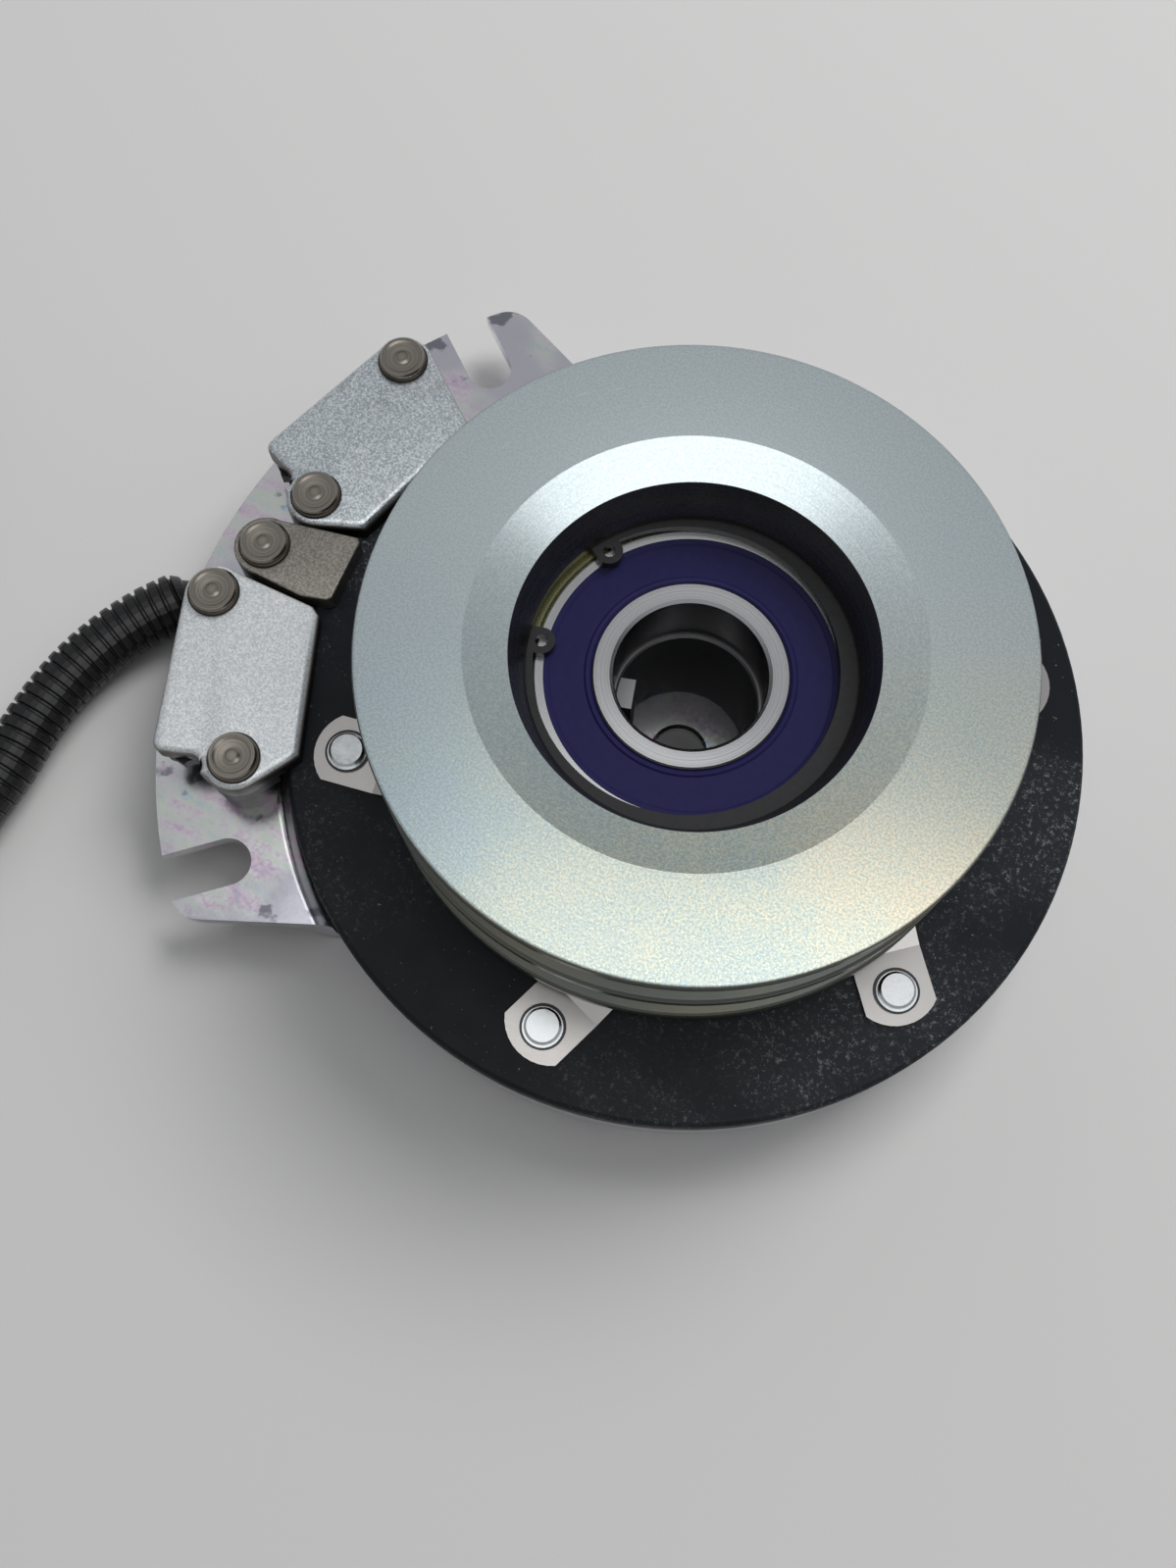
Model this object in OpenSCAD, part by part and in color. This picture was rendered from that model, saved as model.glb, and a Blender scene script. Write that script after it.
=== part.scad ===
// Electric power take-off clutch with a two-groove belt pulley and a spring-applied brake.
// The shaft axis is Z, the field's end of the hub is at z = 0 and the pulley is on top.

/* [Hub] */
// Bore of the hub, for the engine shaft
shaft_d = 28.575; // [26:0.005:29]
// Width of the key that is one piece with the hub
key_w = 6.35; // [4:0.05:8]
// How far the key stands into the bore
key_h = 3.4; // [2:0.1:4]
// Direction of the key round the shaft, in degrees
key_angle = 194.4; // [0:0.1:360]
// Length of the hub, from its lower end to the pulley bearing
hub_len = 35; // [34.5:0.1:45]
// Outside diameter of the hub under the pulley bearing
hub_top_d = 37.8; // [36:0.1:38]
// Thickness of the bolt's washer in the hub's lower end
washer_t = 2.5; // [2:0.1:3]
// How far the washer stands out past the bore, into its step
washer_step = 1; // [0.6:0.1:1.2]
// Diameter of the bolt hole in the washer
bolt_d = 11.5; // [8:0.1:13]

/* [Pulley bearing] */
// Bore of the pulley bearing
pb_bore = 30; // [29.6:0.1:31]
// Outside diameter of the pulley bearing
pb_od = 62; // [58:0.1:75]
// Width of the pulley bearing
pb_w = 16; // [14:0.5:20]
// Number of balls in the pulley bearing
pb_balls = 9; // [7:1:9]

/* [Field bearing] */
// Bore of the field bearing
fb_bore = 35; // [34:0.1:36]
// Outside diameter of the field bearing
fb_od = 62; // [58:0.1:75]
// Width of the field bearing
fb_w = 14; // [12:0.5:14]
// Number of balls in the field bearing
fb_balls = 11; // [9:1:11]

/* [Pulley] */
// Outside diameter of the pulley
pulley_d = 127; // [112:0.1:153]
// Distance from one belt groove to the next
groove_pitch = 16.5; // [15:0.1:19]
// Width of a belt groove at the rim
groove_w = 12.9; // [10.5:0.1:14]
// Depth of a belt groove
groove_depth = 13; // [10:0.1:14]
// Included angle of a belt groove, in degrees
groove_angle = 36; // [30:1:40]
// How far the pulley's top face stands above the pulley bearing
top_recess = 14.9; // [12:0.1:18]
// How far the mouth stands back from the bearing, at the foot of the bright cone
mouth_step = 3.8; // [3.2:0.1:6]
// Radial width of the bright cone
cone_w = 6.3; // [4:0.1:8]
// Height of the bright cone
cone_h = 2.9; // [1:0.1:4]

/* [Retaining ring] */
// Thickness of the retaining ring over the pulley bearing
ring_t = 2; // [1.2:0.1:2.5]
// How far the retaining ring reaches into the pulley past the bearing
ring_seat = 1.8; // [1.3:0.1:2]
// Widest radial size of the retaining ring, opposite its gap
ring_w = 4.5; // [3:0.1:5]
// Half the angle between the two ears, in degrees
ear_half_angle = 22.9; // [15:0.1:30]
// Direction of the gap in the retaining ring, in degrees
ear_mid_angle = 169.2; // [0:0.1:360]

/* [Armature] */
// How far the armature stands past the rotor's rim
arm_over = 0.2; // [-2:0.1:0.4]
// How far the armature's bore stands out from the rotor's inner wall
arm_inset = 4.4; // [2:0.1:6]
// Thickness of the armature
arm_t = 6; // [4:0.1:7.5]
// Gap between the armature and the rotor when the clutch is off
air_gap = 0.5; // [0.4:0.05:0.8]
// Gap between the armature and the brake plates when the clutch is off
brake_gap = 0.25; // [0.2:0.05:0.5]

/* [Leaf springs] */
// Number of leaf springs
spring_count = 6; // [3:1:6]
// Width of a leaf spring
spring_w = 14.5; // [10:0.1:17.5]
// Thickness of a leaf spring
spring_t = 1; // [0.6:0.1:1.2]
// Distance of the pulley rivets from the pulley bearing
spring_in = 11.5; // [9:0.1:13]
// Turn of a leaf spring away from the radius, in degrees
spring_turn = 21.8; // [10:0.1:26]
// Distance of the armature rivets from the armature's rim
spring_edge = 13.3; // [10:0.1:16]
// Diameter of an armature rivet's head
spring_head_d = 7.5; // [6.5:0.1:9]
// Diameter of the black collar under an armature rivet's head
spring_collar_d = 9.3; // [8:0.1:11]
// Shank diameter of the spring rivets
spring_shank_d = 5; // [4:0.1:6]
// How deep the pulley rivets go into the pulley
spring_rivet_depth = 6; // [4:0.1:7]

/* [Rotor] */
// Outside diameter of the rotor
rotor_d = 167.2; // [160:0.1:205]
// Thickness of the rotor's outer wall
rotor_wall = 4.6; // [3:0.1:4.6]
// Thickness of the rotor's face
rotor_face_t = 5; // [4:0.1:6]
// Width of the curved slots in the rotor's face
flux_slot_w = 3.6; // [2:0.1:5]

/* [Field] */
// Running gap between the field shell and the rotor's outer wall
field_gap = 1; // [0.6:0.1:2]
// Thickness of the field shell's back
shell_back = 4; // [4:0.1:5]
// Thickness of the field shell's outer wall
shell_wall = 6; // [4.5:0.1:7]
// Depth of the space for the coil
coil_space_h = 7.6; // [6.5:0.01:9.2]

/* [Mounting plate] */
// Thickness of the mounting plate
plate_t = 3.4; // [2.5:0.1:4]
// Height of the ear's top face over the hub's lower end
ear_top = 13; // [12:0.1:14]
// How far the ear stands out past the rotor's rim
ear_reach = 30; // [28:0.1:36]
// Width of the two anti-rotation slots
slot_w = 10.3; // [8:0.1:12]
// Angle between a slot and the middle of the ear, in degrees
slot_angle = 40.3; // [39:0.1:41]
// Distance of the centre of a slot's round end from the ear's rim
slot_depth = 13.1; // [10:0.1:15]
// Radius of the round corner outside each slot
horn_r = 6.7; // [5:0.1:8]

/* [Brakes] */
// Thickness of the brake plates and of the keeper plate
brake_t = 4.8; // [3.5:0.1:5]
// Thickness of the black pole plates under the brake plates
pole_t = 2.8; // [2:0.1:4]
// Direction of the middle of the upper brake plate, in degrees
brake_upper_angle = 161.3; // [160.5:0.1:162]
// Direction of the middle of the lower brake plate, in degrees
brake_lower_angle = 199.6; // [199:0.1:201]
// Head diameter of the brake rivets
brake_head_d = 10.2; // [9:0.1:12]
// Head height of the brake rivets
brake_head_h = 2.1; // [1.5:0.1:3]
// Shank diameter of the brake rivets
brake_shank_d = 6; // [5:0.1:7]

/* [Lead] */
// Outside diameter of the corrugated conduit
conduit_d = 13; // [10:0.1:13]
// Diameter of each lead wire
wire_d = 2.6; // [1.5:0.1:3]

/* [Hidden] */

$fn = 96;

// Clearances
fit_c = 0.02;
run_c = 0.08;
gap_c = 0.6;

// Heights of the stack
fb_z0 = 3.2;
fb_z1 = fb_z0 + fb_w;
rotor_under = shell_back + coil_space_h + gap_c;
rotor_top = rotor_under + rotor_face_t;
rotor_low = shell_back + 1;
arm_low = rotor_top + air_gap;
arm_top = arm_low + arm_t;
brake_low = arm_top + brake_gap;
brake_top = brake_low + brake_t;
pole_low = brake_low - pole_t;
ear_low = ear_top - plate_t;
pb_z1 = hub_len + pb_w;
pulley_top = pb_z1 + top_recess;
land_w = groove_pitch - groove_w;
pulley_low = pulley_top - 2 * groove_pitch - land_w;
web_low = fb_z1 + 0.4;
web_top = web_low + 3.7;
ring_z0 = pb_z1 + 0.05;

// Radii and diameters that follow the rotor and the two bearings
rim = rotor_d / 2;
arm_d = rotor_d + 2 * arm_over;
shell_d = rotor_d - 2 * (rotor_wall + field_gap);
boss_r = fb_od / 2 + 3.8;
rotor_in_r = boss_r + 2 * gap_c;
rotor_in_wall = 4.6;
arm_bore = 2 * (rotor_in_r + rotor_in_wall + arm_inset);
pole_in_r = rotor_in_r + rotor_in_wall + gap_c;
pole_in_t = 4.8;
coil_r0 = pole_in_r + pole_in_t;
coil_r1 = shell_d / 2 - shell_wall;
spigot_r = shell_d / 2 - 2;
floor_r = rim - 1.1;
joggle_r = rim + 1.2;
ear_r = rim + ear_reach;
slot_end_r = ear_r - slot_depth;
flux_r = [coil_r0 + 7, coil_r1 - 5];
flange_r = 26;
spigot_hub_r = 21;
washer_r = shaft_d / 2 + washer_step;
pulley_lip_r = pb_od / 2 - 2.5;
ring_d = pb_od + 2 * ring_seat;
mouth_d = pb_od + 2 * mouth_step;
cone_d = mouth_d + 2 * cone_w;

// Circles of the spring rivets, and the distance between the two rivets of one spring
spring_out_r = arm_d / 2 - spring_edge;
spring_in_r = pb_od / 2 + spring_in;
spring_len = spring_out_r * cos(spring_turn)
    - sqrt(pow(spring_in_r, 2) - pow(spring_out_r * sin(spring_turn), 2));

// Places of the brake rivets; X runs out through the middle of a brake plate for rivets a and b
rivet_a = [rim + 17.74, -18.97];
rivet_b = [rim + 8.08, 17.32];
keeper_rivet = [-rim - 13.58, -1.87];
lobe_r = 6.7;

// Prongs of the ear: direction of the rounded corner from the middle of the ear, slope of the inner edge
prong_lower = [42.5, 21.6];
prong_upper = [44.3, 24.6];
prong_len = 34;

// Lead
lead_angle = 187.3;
wire_z = 5.5;
tie_t = 0.8;
conduit_z = conduit_d / 2 + tie_t;
mouth_at = [-117.2, -14.8];
bend_r = 52;
bend_c = [-185, -66];
coil_c = [-251, -40];
coil_r = [78, 64];
coil_start = -90;
coil_steps = 24;
tail_turn = 120;
tail_c = coil_c + polar(coil_r[1] - bend_r, coil_start);
tail_end = 4;
connector_size = [34, 15, 13];

// Route of the conduit: along the floor, one turn of its coil, and inwards to the plug
floor_route = [mouth_at, [-122.2, -21.4], [-126.3, -28.8], [-129.4, -36.7], [-131.4, -45],
    [-132.5, -54], [-133, -66]];
bend_route = [for (i = [1:5]) bend_c + polar(bend_r, -90 * i / 5)];
coil_route = [for (i = [0:coil_steps]) coil_c
    + polar(coil_r[0] + (coil_r[1] - coil_r[0]) * i / coil_steps, coil_start - 360 * i / coil_steps)];
tail_route = [for (i = [1:6]) tail_c + polar(bend_r, coil_start - tail_turn * i / 6)];
tail_heading = coil_start - tail_turn - 90;
tail_tip = tail_route[5] + polar(tail_end, tail_heading);
straight_route = [[-207, -118], [-229, -118]];
conduit_route = concat(floor_route, bend_route, straight_route, coil_route, tail_route, [tail_tip]);

function polar(r, a) = [r * cos(a), r * sin(a)];
function arc(c, r, a0, a1, n) = [for (i = [0:n]) c + polar(r, a0 + (a1 - a0) * i / n)];

// Ring between two radii and two heights
module tube(r0, r1, z0, z1) {
    translate([0, 0, z0]) difference() {
        cylinder(r = r1, h = z1 - z0);
        translate([0, 0, -1]) cylinder(r = r0, h = z1 - z0 + 2);
    }
}

// Copies spread evenly round Z
module around(n, first = 0) {
    for (i = [0:n - 1]) rotate([0, 0, first + i * 360 / n]) children();
}

// One curved slot with round ends, centred on the Y axis
module curved_slot(r, w, span) {
    intersection() {
        difference() {
            circle(r = r + w / 2);
            circle(r = r - w / 2);
        }
        polygon([[0, 0], polar(2 * r, 90 - span / 2), polar(2 * r, 90 + span / 2)]);
    }
    for (s = [-1, 1]) translate(polar(r, 90 + s * span / 2)) circle(d = w - 0.2);
}

// Deep-groove ball bearing standing on z = 0; its balls fill the section or the width, whichever is less
function race_r(bore, od) = (bore + od) / 4;
function ball_r(bore, od, w) = min((od - bore) * 0.148, w / 2 - 2.95);
function shoulder_in(bore, od, w) = race_r(bore, od) - ball_r(bore, od, w) * 0.804;
function shoulder_out(bore, od, w) = race_r(bore, od) + ball_r(bore, od, w) * 1.047;

module bearing_inner(bore, od, w) {
    rp = race_r(bore, od);
    rs = shoulder_in(bore, od, w);
    ch = 0.8;
    difference() {
        rotate_extrude() polygon([[bore / 2, ch], [bore / 2 + ch, 0], [rs - 0.3, 0], [rs, 0.3],
            [rs, w - 0.3], [rs - 0.3, w], [bore / 2 + ch, w], [bore / 2, w - ch]]);
        rotate_extrude() translate([rp, w / 2]) circle(r = ball_r(bore, od, w) + run_c, $fn = 48);
    }
}

module bearing_outer(bore, od, w) {
    rp = race_r(bore, od);
    rs = shoulder_out(bore, od, w);
    ch = 0.7;
    seat = 1.9;
    difference() {
        rotate_extrude() polygon([[rs, seat], [rs + 0.7, seat - 0.4], [rs + 0.7, 0], [od / 2 - ch, 0],
            [od / 2, ch], [od / 2, w - ch], [od / 2 - ch, w], [rs + 0.7, w],
            [rs + 0.7, w - seat + 0.4], [rs, w - seat]]);
        rotate_extrude() translate([rp, w / 2]) circle(r = ball_r(bore, od, w) + run_c, $fn = 48);
    }
}

module bearing_balls(bore, od, w, n) {
    around(n) translate([race_r(bore, od), 0, w / 2]) sphere(r = ball_r(bore, od, w), $fn = 32);
}

// Snap cage: a closed ring above the balls, with fingers that reach down between them
module bearing_cage(bore, od, w, n) {
    rp = race_r(bore, od);
    rb = ball_r(bore, od, w);
    difference() {
        tube(rp - 1.1, rp + 1.1, w / 2 - rb * 0.4, w / 2 + rb + 0.8);
        around(n) translate([rp, 0, w / 2]) sphere(r = rb + run_c, $fn = 32);
        around(n, 180 / n) translate([rp - 3, -rp * PI / n * 0.22, w / 2 - rb])
            cube([6, rp * PI / n * 0.44, rb * 1.1]);
    }
}

// Rubber seals with a raised bead at the lip and a step at the rim
module bearing_seals(bore, od, w) {
    r0 = shoulder_in(bore, od, w) + run_c;
    r1 = shoulder_out(bore, od, w) + 0.7 - fit_c;
    for (m = [0, 1]) translate([0, 0, m * w]) mirror([0, 0, m]) rotate_extrude()
        polygon([[r0, 0.75], [r0 + 0.5, 0.4], [r0 + 1.1, 0.3], [r0 + 1.5, 0.6], [r1 - 1.3, 0.6],
            [r1 - 0.9, 0.3], [r1, 0.3], [r1, 1.2], [r1 - 1, 1.35], [r0, 1.35]]);
}

// Mounting plate: floor ring round the shell, a joggle past the rotor, and the slotted ear
module prong(p) {
    c = polar(ear_r - horn_r, p[0]);
    edge = c + polar(horn_r, p[1] + 90);
    reach = ear_r + 1;
    intersection() {
        circle(r = ear_r, $fn = 180);
        polygon([[0, 0], [reach, 0], polar(reach / cos(p[0] / 2), p[0] / 2), polar(reach, p[0]), c, edge,
            edge + polar(prong_len, p[1] + 180)]);
    }
    translate(c) circle(r = horn_r);
}

module ear_outline() {
    rotate([0, 0, 180]) {
        prong(prong_lower);
        mirror([0, 1]) prong(prong_upper);
    }
}

module joggle_profile() {
    r = joggle_r;
    polygon(concat([[spigot_r + fit_c, shell_back - plate_t]],
        arc([r + plate_t - 3, shell_back - plate_t + 3], 3, -90, 0, 10),
        arc([r + plate_t + 0.4, ear_low - 0.4], 0.4, 180, 90, 4),
        [[ear_r + 1, ear_low], [ear_r + 1, ear_top]],
        arc([r + 3.2, ear_top - 3.2], 3.2, 90, 180, 10),
        arc([r - 1, shell_back + 1], 1, 0, -90, 6),
        [[spigot_r + fit_c, shell_back]]));
}

module lead_notch(r0, r1, w, top) {
    rotate([0, 0, lead_angle]) translate([r0, -w / 2, -1]) cube([r1 - r0, w, top + 1]);
}

module mounting_plate() {
    color("Gainsboro") difference() {
        intersection() {
            rotate_extrude($fn = 180) joggle_profile();
            translate([0, 0, -1]) linear_extrude(ear_top + 2) union() {
                circle(r = floor_r);
                ear_outline();
            }
        }
        for (s = [-1, 1]) rotate([0, 0, 180 + s * slot_angle]) {
            translate([slot_end_r, 0, 0]) cylinder(d = slot_w, h = ear_top + 2);
            translate([slot_end_r, -slot_w / 2, 0]) cube([30, slot_w, ear_top + 2]);
        }
        brake_rivet_places() cylinder(d = brake_shank_d + 2 * fit_c, h = ear_top + 2);
        lead_notch(spigot_r - 3, joggle_r + plate_t + 1.5, 12, ear_low - 0.7);
    }
}

// Field shell: bearing boss, inner pole, coil space and outer pole in one turned piece
module field_shell() {
    r_out = shell_d / 2;
    h = shell_back + coil_space_h;
    color("SlateGray") difference() {
        rotate_extrude($fn = 180) polygon([[fb_od / 2 - 1.8, 0], [spigot_r, 0], [spigot_r, shell_back],
            [r_out, shell_back], [r_out, h], [coil_r1, h], [coil_r1, shell_back], [coil_r0, shell_back],
            [coil_r0, h], [pole_in_r, h], [pole_in_r, shell_back], [boss_r, shell_back],
            [boss_r, fb_z1 - 1.2], [fb_od / 2 + fit_c, fb_z1 - 1.2], [fb_od / 2 + fit_c, fb_z0],
            [fb_od / 2 - 1.8, fb_z0]]);
        lead_notch(coil_r1 - 6, r_out + 1, 10, shell_back);
    }
}

module coil_bobbin() {
    t = 1.1;
    top = shell_back + coil_space_h - 1.3;
    color("SaddleBrown") rotate_extrude() polygon([[coil_r0 + 0.3, shell_back], [coil_r1 - 0.3, shell_back],
        [coil_r1 - 0.3, top], [coil_r1 - 0.3 - t, top], [coil_r1 - 0.3 - t, shell_back + t],
        [coil_r0 + 0.3 + t, shell_back + t], [coil_r0 + 0.3 + t, top], [coil_r0 + 0.3, top]]);
}

module coil_winding() {
    color("Peru") tube(coil_r0 + 1.6, coil_r1 - 1.6, shell_back + 1.3, shell_back + coil_space_h - 1.5);
}

module coil_potting() {
    color("DarkOliveGreen")
        tube(coil_r0 + 0.2, coil_r1 - 0.2, shell_back + coil_space_h - 1.3, shell_back + coil_space_h - 0.3);
}

module field_bearing_outer() {
    color("LightSteelBlue") translate([0, 0, fb_z0]) bearing_outer(fb_bore, fb_od, fb_w);
}

module field_bearing_inner() {
    color("LightSteelBlue") translate([0, 0, fb_z0]) bearing_inner(fb_bore, fb_od, fb_w);
}

module field_bearing_balls() {
    color("Silver") translate([0, 0, fb_z0]) bearing_balls(fb_bore, fb_od, fb_w, fb_balls);
}

module field_bearing_cage() {
    color("DarkGoldenrod") translate([0, 0, fb_z0]) bearing_cage(fb_bore, fb_od, fb_w, fb_balls);
}

module field_bearing_seals() {
    color("MidnightBlue") translate([0, 0, fb_z0]) bearing_seals(fb_bore, fb_od, fb_w);
}

// Rotor: a channel over the field, with two rings of curved slots through its face
module rotor_disc() {
    ro = rotor_d / 2;
    ri = rotor_in_r;
    wall = rotor_in_wall;
    color("DimGray") difference() {
        rotate_extrude($fn = 180) polygon([[spigot_hub_r + fit_c, web_low], [ri, web_low], [ri, rotor_low],
            [ri + wall, rotor_low], [ri + wall, rotor_under], [ro - rotor_wall, rotor_under],
            [ro - rotor_wall, rotor_low], [ro - 0.5, rotor_low], [ro, rotor_low + 0.5],
            [ro, rotor_top - 0.5], [ro - 0.5, rotor_top], [ri + wall, rotor_top], [ri, web_top],
            [spigot_hub_r + fit_c, web_top]]);
        for (r = flux_r) around(6) translate([0, 0, rotor_under - 1])
            linear_extrude(rotor_face_t + 2) curved_slot(r, flux_slot_w, 46);
    }
}

// Hub: bearing seat, flange for the rotor and a key in its bore
module rotor_hub() {
    groove = fb_bore / 2 - 1.1;
    seat = fb_bore / 2 - fit_c;
    color("DarkGray") union() {
        rotate_extrude() polygon([[shaft_d / 2, washer_t], [washer_r + fit_c, washer_t], [washer_r + fit_c, 0],
            [seat - 0.6, 0], [seat, 0.6], [seat, 1.6],
            [groove, 1.6], [groove, fb_z0], [seat, fb_z0], [seat, fb_z1], [spigot_hub_r, fb_z1],
            [spigot_hub_r, web_top], [flange_r, web_top], [flange_r, web_top + 3.2],
            [hub_top_d / 2, web_top + 3.2], [hub_top_d / 2, hub_len - 0.5],
            [hub_top_d / 2 - 0.5, hub_len], [shaft_d / 2 + 0.4, hub_len], [shaft_d / 2, hub_len - 0.4]]);
        intersection() {
            rotate([0, 0, key_angle]) translate([shaft_d / 2 - key_h, -key_w / 2, washer_t])
                cube([key_h + 0.5, key_w, hub_len - 0.4 - washer_t]);
            cylinder(r = shaft_d / 2 + 0.2, h = hub_len);
        }
    }
}

// Washer in the step at the hub's lower end, with a bevelled hole for the shaft's bolt
module hub_washer() {
    bevel = 0.7;
    color("Gainsboro") rotate_extrude() polygon([[bolt_d / 2, 0], [washer_r - 0.3, 0], [washer_r, 0.3],
        [washer_r, washer_t], [bolt_d / 2 + bevel, washer_t], [bolt_d / 2, washer_t - bevel]]);
}

// External snap ring that holds the field bearing on the hub
module hub_snap_ring() {
    r0 = fb_bore / 2 - 1.1 + fit_c;
    color("DarkSlateGray") difference() {
        tube(r0, fb_bore / 2 + 2, 1.65, fb_z0 - 0.05);
        rotate([0, 0, 30]) translate([0, -3, 0]) cube([40, 6, 10]);
    }
}

module pulley_bearing_inner() {
    color("LightSteelBlue") translate([0, 0, hub_len]) bearing_inner(pb_bore, pb_od, pb_w);
}

module pulley_bearing_outer() {
    color("LightSteelBlue") translate([0, 0, hub_len]) bearing_outer(pb_bore, pb_od, pb_w);
}

module pulley_bearing_balls() {
    color("Silver") translate([0, 0, hub_len]) bearing_balls(pb_bore, pb_od, pb_w, pb_balls);
}

module pulley_bearing_cage() {
    color("DarkGoldenrod") translate([0, 0, hub_len]) bearing_cage(pb_bore, pb_od, pb_w, pb_balls);
}

module pulley_bearing_seals() {
    color("MidnightBlue") translate([0, 0, hub_len]) bearing_seals(pb_bore, pb_od, pb_w);
}

// Half profile of one V groove, open at the rim, from its top lip down to its bottom lip
function groove_points(z) =
    let (r = pulley_d / 2, h = groove_w / 2, f = 0.6, b = h - groove_depth * tan(groove_angle / 2))
    [[r, z + h + f], [r - 0.18, z + h + 0.18], [r - f, z + h - 0.2], [r - groove_depth, z + b],
        [r - groove_depth, z - b], [r - f, z - h + 0.2], [r - 0.18, z - h - 0.18], [r, z - h - f]];

module pulley() {
    r = pulley_d / 2;
    g1 = pulley_top - land_w - groove_w / 2;
    seat = pb_od / 2 + fit_c;
    ring_z1 = ring_z0 + ring_t + 0.15;
    lip = ring_d / 2 - 0.8;
    color("Silver") difference() {
        rotate_extrude($fn = 180) polygon(concat(
            [[pulley_lip_r, pulley_low], [pulley_lip_r, hub_len], [seat, hub_len], [seat, ring_z0 - 0.02],
                [ring_d / 2 + fit_c, ring_z0 - 0.02], [ring_d / 2 + fit_c, ring_z1], [lip, ring_z1],
                [lip, ring_z1 + 1.2], [mouth_d / 2, pulley_top - cone_h], [cone_d / 2, pulley_top]],
            arc([r - 0.8, pulley_top - 0.8], 0.8, 90, 0, 6),
            groove_points(g1), groove_points(g1 - groove_pitch),
            arc([r - 0.8, pulley_low + 0.8], 0.8, 0, -90, 6)));
        spring_places() translate([spring_len, 0, pulley_low - 1])
            cylinder(d = spring_shank_d + 2 * fit_c, h = spring_rivet_depth + 1.5);
    }
}

// Retaining ring: tapers towards its gap, with a drilled ear at each end
module retaining_ring() {
    thin = 1.9;
    e = (ring_w - thin) / 2;
    ri = ring_d / 2 - (ring_w + thin) / 2;
    er = ring_d / 2 - 3.2;
    color("DarkSlateGray") translate([0, 0, ring_z0]) linear_extrude(ring_t) rotate([0, 0, ear_mid_angle])
        difference() {
            union() {
                difference() {
                    circle(d = ring_d);
                    translate([e, 0]) circle(r = ri);
                    polygon([[0, 0], polar(60, ear_half_angle - 3), polar(60, 3 - ear_half_angle)]);
                }
                intersection() {
                    circle(d = ring_d);
                    for (s = [-1, 1]) rotate([0, 0, s * ear_half_angle]) {
                        translate([er, 0]) circle(r = 2.7);
                        translate([er, -2.7]) square([4, 5.4]);
                    }
                }
            }
            for (s = [-1, 1]) rotate([0, 0, s * ear_half_angle]) translate([er, 0]) circle(d = 2.5, $fn = 24);
        }
}

// Frame of each leaf spring: origin at its armature rivet, X towards its pulley rivet
module spring_places() {
    around(spring_count, 30) translate([spring_out_r, 0, 0]) rotate([0, 0, 180 - spring_turn]) children();
}

module leaf_spring() {
    w = spring_w / 2;
    rise = pulley_low - arm_top - spring_t;
    tip = 3.5;
    tip_r = 9.4;
    a = asin(w / tip_r);
    bend = [spring_len / 4, spring_len * 0.69];
    difference() {
        intersection() {
            translate([0, w + 1, arm_top]) rotate([90, 0, 0]) linear_extrude(2 * w + 2)
                polygon([[-10, 0], [bend[0], 0], [bend[1], rise], [spring_len + w + 2, rise],
                    [spring_len + w + 2, rise + spring_t], [bend[1] - 0.2, rise + spring_t],
                    [bend[0] - 0.2, spring_t], [-10, spring_t]]);
            translate([0, 0, arm_top - 1]) linear_extrude(rise + spring_t + 2) union() {
                polygon(concat([[spring_len, -w]], [[spring_len, w]],
                    arc([tip_r * cos(a) - tip, 0], tip_r, 180 - a, 180 + a, 10)));
                translate([spring_len, 0]) circle(r = w);
            }
        }
        for (x = [0, spring_len]) translate([x, 0, arm_top - 1])
            cylinder(d = spring_shank_d + 2 * fit_c, h = rise + spring_t + 3);
    }
}

module leaf_springs() {
    color("RosyBrown") spring_places() leaf_spring();
}

// Rivets from below through the inner spring ends into the pulley
module pulley_rivets() {
    color("LightGray") spring_places() translate([spring_len, 0, 0]) {
        translate([0, 0, pulley_low - spring_t - 1.5]) cylinder(d1 = 7.6, d2 = 9, h = 1.5);
        translate([0, 0, pulley_low - spring_t])
            cylinder(d = spring_shank_d, h = spring_t + spring_rivet_depth);
    }
}

module armature_plate() {
    r = arm_d / 2;
    color("Black") difference() {
        rotate_extrude($fn = 180) polygon(concat(
            [[arm_bore / 2, arm_low], [r - 0.4, arm_low], [r, arm_low + 0.4]],
            arc([r - 1.4, arm_top - 1.4], 1.4, 0, 90, 6), [[arm_bore / 2, arm_top]]));
        around(6) translate([0, 0, arm_low - 1]) linear_extrude(arm_t + 2)
            curved_slot((flux_r[0] + flux_r[1]) / 2, flux_slot_w, 34);
        around(spring_count, 30) translate([spring_out_r, 0, arm_low - 1])
            cylinder(d = spring_shank_d + 2 * fit_c, h = arm_t + 2);
        around(spring_count, 30) translate([spring_out_r, 0, arm_low - 0.01])
            cylinder(d1 = spring_shank_d + 3, d2 = spring_shank_d, h = 1.5);
    }
}

// Rivets through armature and outer spring ends, flush with the friction face
module armature_rivets() {
    top = arm_top + spring_t;
    collar = spring_collar_d / 2;
    head = spring_head_d / 2;
    color("LightGray") around(spring_count, 30) translate([spring_out_r, 0, 0]) {
        translate([0, 0, arm_low + 0.1]) cylinder(d1 = spring_shank_d + 2.7, d2 = spring_shank_d, h = 1.3);
        translate([0, 0, arm_low + 0.1]) cylinder(d = spring_shank_d, h = arm_t + spring_t);
        rotate_extrude($fn = 48) polygon([[0, top], [collar, top], [collar, top + 0.35], [head, top + 0.35],
            [head, top + 1.2], [head - 0.5, top + 1.6], [0, top + 1.6]]);
    }
}

// Brake rivets sit in the frame of their own plate
module brake_rivet_places() {
    for (m = [brake_upper_angle, brake_lower_angle]) {
        rotate([0, 0, m]) translate(rivet_a) children();
        rotate([0, 0, m]) translate(rivet_b) children();
    }
    translate(keeper_rivet) children();
}

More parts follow.
